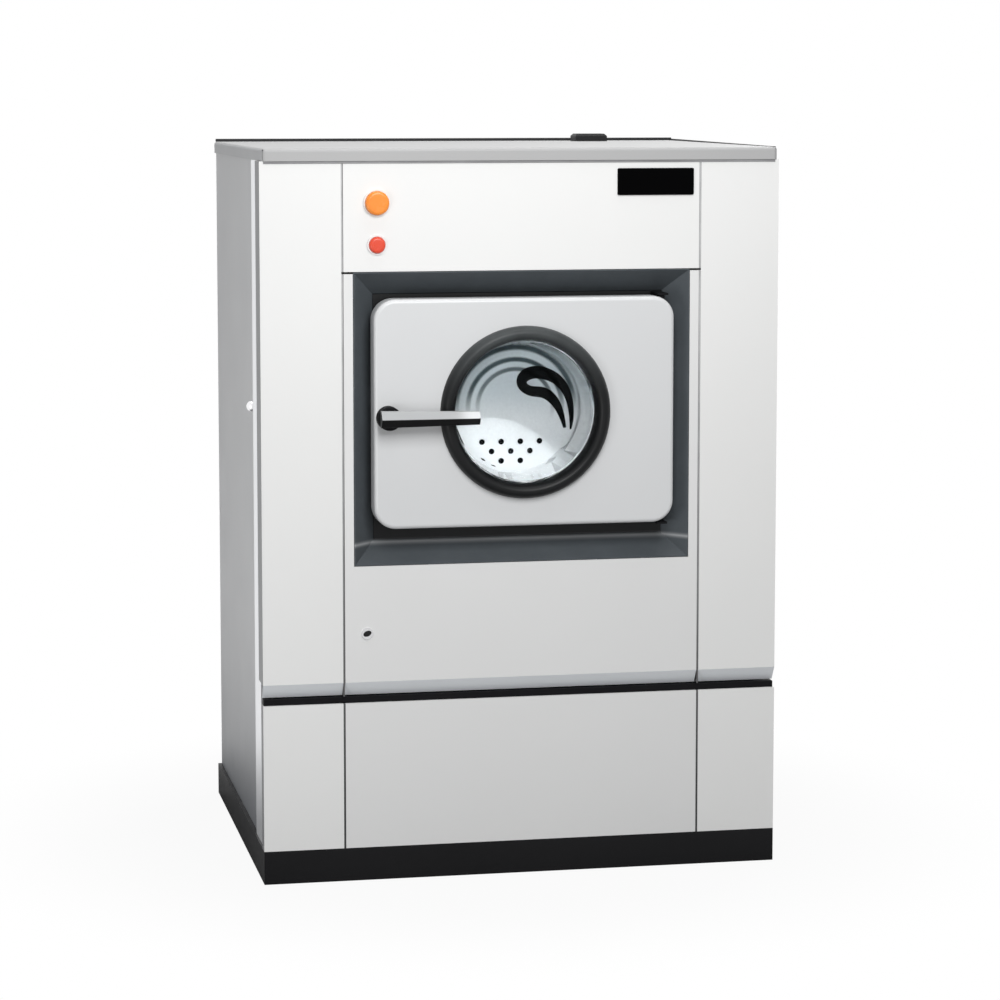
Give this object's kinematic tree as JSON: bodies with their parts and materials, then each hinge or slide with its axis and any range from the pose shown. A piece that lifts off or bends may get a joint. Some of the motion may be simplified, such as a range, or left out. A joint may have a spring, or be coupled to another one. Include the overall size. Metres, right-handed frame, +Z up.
{
  "type": "industrial washing machine",
  "caption": "Tall free-standing front-loading industrial washer with a recessed porthole door, lever handle, push buttons, hinged service panel and belt-driven perforated drum.",
  "frame": {"origin": "on the floor, at the centre of the four anchor holes of the plinth", "axes": "+Z up, the front with the door faces -Y, +X to the right as seen from the front"},
  "size_m": [1.02, 0.9464, 1.436],
  "materials": {
    "front_panel": "satin light grey sheet",
    "door_panel": "satin light grey sheet",
    "side_panel": "satin stainless sheet",
    "plinth_black": "satin black paint",
    "chassis_steel": "grey primer",
    "surround_grey": "satin dark blue-grey",
    "black_plastic": "satin black",
    "display_black": "gloss black",
    "bezel_grey": "satin light grey",
    "amber_plastic": "amber lens",
    "red_plastic": "red lens",
    "hinge_black": "blackened steel",
    "porthole_glass": "clear",
    "handle_grey": "satin grey over black",
    "machined_steel": "machined",
    "lock_chrome": "chromed",
    "stainless": "brushed stainless",
    "black_rubber": "matt",
    "cast_pulley": "painted casting",
    "motor_grey": "grey paint",
    "drain_grey": "grey plastic",
    "valve_brass": "machined brass"
  },
  "bodies": {
    "cabinet": {"base_plinth": "plinth_black", "chassis": "chassis_steel", "cabinet_frame": "chassis_steel", "left_front_column": "front_panel", "right_front_column": "front_panel", "kick_panel_left": "front_panel", "kick_panel_centre": "front_panel", "kick_panel_right": "front_panel", "recess_strip": "black_plastic", "control_fascia": "front_panel", "display_window": "display_black", "button_bezels": "bezel_grey", "control_box": "chassis_steel", "door_surround": "surround_grey", "door_hinge_pintles": "hinge_black", "latch_keeper": "machined_steel", "service_hinge_pintles": "machined_steel", "corner_trims": "side_panel", "left_side_panel": "side_panel", "right_side_panel": "side_panel", "rear_panel": "side_panel", "rear_panel_screws": "machined_steel", "top_cover": "front_panel", "vent_cap": "black_plastic", "tub_shell": "stainless", "tub_front_head": "stainless", "tub_rear_head": "stainless", "door_gasket": "black_rubber", "bearing_housing": "cast_pulley", "shaft_bearings": "machined_steel", "shaft_seal": "black_rubber", "motor_plate": "chassis_steel", "motor": "motor_grey", "drive_belt": "black_rubber", "heating_elements": "stainless", "drain_valve": "black_plastic", "drain_pipes": "drain_grey", "water_valves": "valve_brass", "water_pipes": "black_rubber", "vent_pipe": "drain_grey", "cable_gland": "black_plastic"},
    "door": {"door_shell": "door_panel", "door_back_plate": "door_panel", "door_hinge_blocks": "hinge_black", "door_ring": "black_plastic", "door_glass": "porthole_glass", "glass_clamp_ring": "stainless"},
    "handle": {"handle_boss": "black_plastic", "handle_lever": "handle_grey", "latch_spindle": "machined_steel"},
    "drum": {"drum_shell": "stainless", "drum_rear_head": "stainless", "drum_lifters": "stainless", "drum_shaft": "machined_steel", "drum_pulley": "cast_pulley"},
    "motor_rotor": {"motor_pulley": "machined_steel"},
    "start_plunger": {"start_button": "amber_plastic"},
    "stop_plunger": {"stop_button": "red_plastic"},
    "service_door": {"service_panel": "front_panel"},
    "lock_plug": {"panel_lock": "lock_chrome"}
  },
  "joints": [
    {"name": "door_swing", "type": "hinge", "parent": "cabinet", "child": "door", "pos_m": [0.275, -0.415, 0.912], "axis": [0, 0, 1], "range_deg": [0, 135]},
    {"name": "handle_turn", "type": "hinge", "parent": "door", "child": "handle", "pos_m": [-0.269, -0.44, 0.907], "axis": [0, -1, 0], "range_deg": [0, 90]},
    {"name": "drum_spin", "type": "hinge", "parent": "cabinet", "child": "drum", "pos_m": [0, 0, 0.912], "axis": [0, 1, 0], "continuous": true},
    {"name": "motor_spin", "type": "hinge", "parent": "cabinet", "child": "motor_rotor", "pos_m": [0.2, 0.35, 0.247], "axis": [0, 1, 0], "continuous": true},
    {"name": "start_press", "type": "slide", "parent": "cabinet", "child": "start_plunger", "axis": [0, 1, 0], "range_m": [0, 0.005], "stiffness_N_per_m": 600},
    {"name": "stop_press", "type": "slide", "parent": "cabinet", "child": "stop_plunger", "axis": [0, 1, 0], "range_m": [0, 0.005], "stiffness_N_per_m": 600},
    {"name": "service_panel_swing", "type": "hinge", "parent": "cabinet", "child": "service_door", "pos_m": [0.338, -0.403, 0.6], "axis": [0, 0, 1], "range_deg": [0, 100]},
    {"name": "panel_lock_turn", "type": "hinge", "parent": "service_door", "child": "lock_plug", "pos_m": [-0.307, -0.4, 0.486], "axis": [0, 1, 0], "range_deg": [0, 90]}
  ],
  "couplings": [
    {"joint": "motor_spin", "follows": "drum_spin", "ratio": 4.8889}
  ]
}
